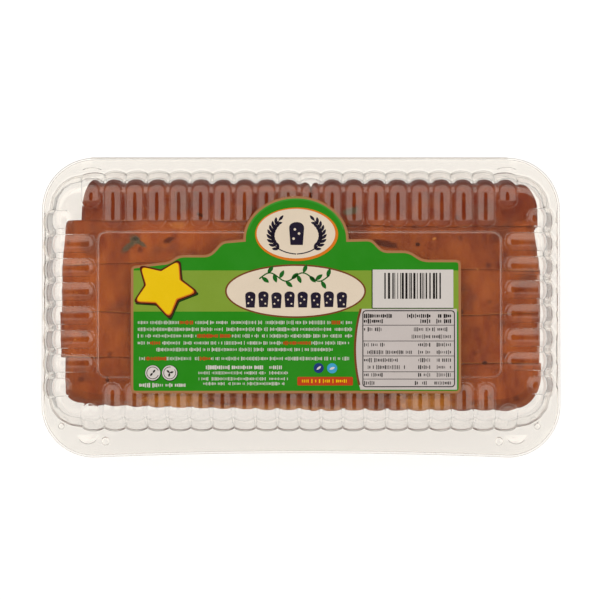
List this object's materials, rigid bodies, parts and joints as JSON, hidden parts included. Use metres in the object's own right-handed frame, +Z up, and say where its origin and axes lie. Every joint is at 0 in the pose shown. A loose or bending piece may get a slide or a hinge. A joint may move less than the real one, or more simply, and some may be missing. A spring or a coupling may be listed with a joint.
{
  "type": "sliced fruit cake in a hinged clear pack",
  "caption": "Fruit cake in slices, in a shut clear clamshell pack with ribbed walls, a lid hinged at the rear edge and a printed label on top.",
  "frame": {"origin": "bottom centre of the closed pack's bounding box, on the table", "axes": "+X along the pack to the right of the label, +Y to the rear edge where the lid is hinged, +Z up"},
  "size_m": [0.24, 0.139, 0.0505],
  "materials": {
    "clear_sheet": "clear, thin, glossy formed sheet",
    "label": "satin printed label, green",
    "crust": "brown baked crust over yellow crumb with candied fruit"
  },
  "bodies": {
    "pack_base": {"tray": "clear_sheet", "slice_left_1": "crust", "slice_left_2": "crust", "slice_left_3": "crust", "slice_left_4": "crust", "slice_left_5": "crust", "slice_right_1": "crust", "slice_right_2": "crust", "slice_right_3": "crust", "slice_right_4": "crust", "slice_right_5": "crust"},
    "pack_lid": {"lid": "clear_sheet", "label": "label"}
  },
  "joints": [
    {"name": "lid_hinge", "type": "hinge", "parent": "pack_base", "child": "pack_lid", "pos_m": [-0.0008, 0.0691, 0.02715], "axis": [-1, 0, 0], "range_deg": [0, 180]}
  ]
}
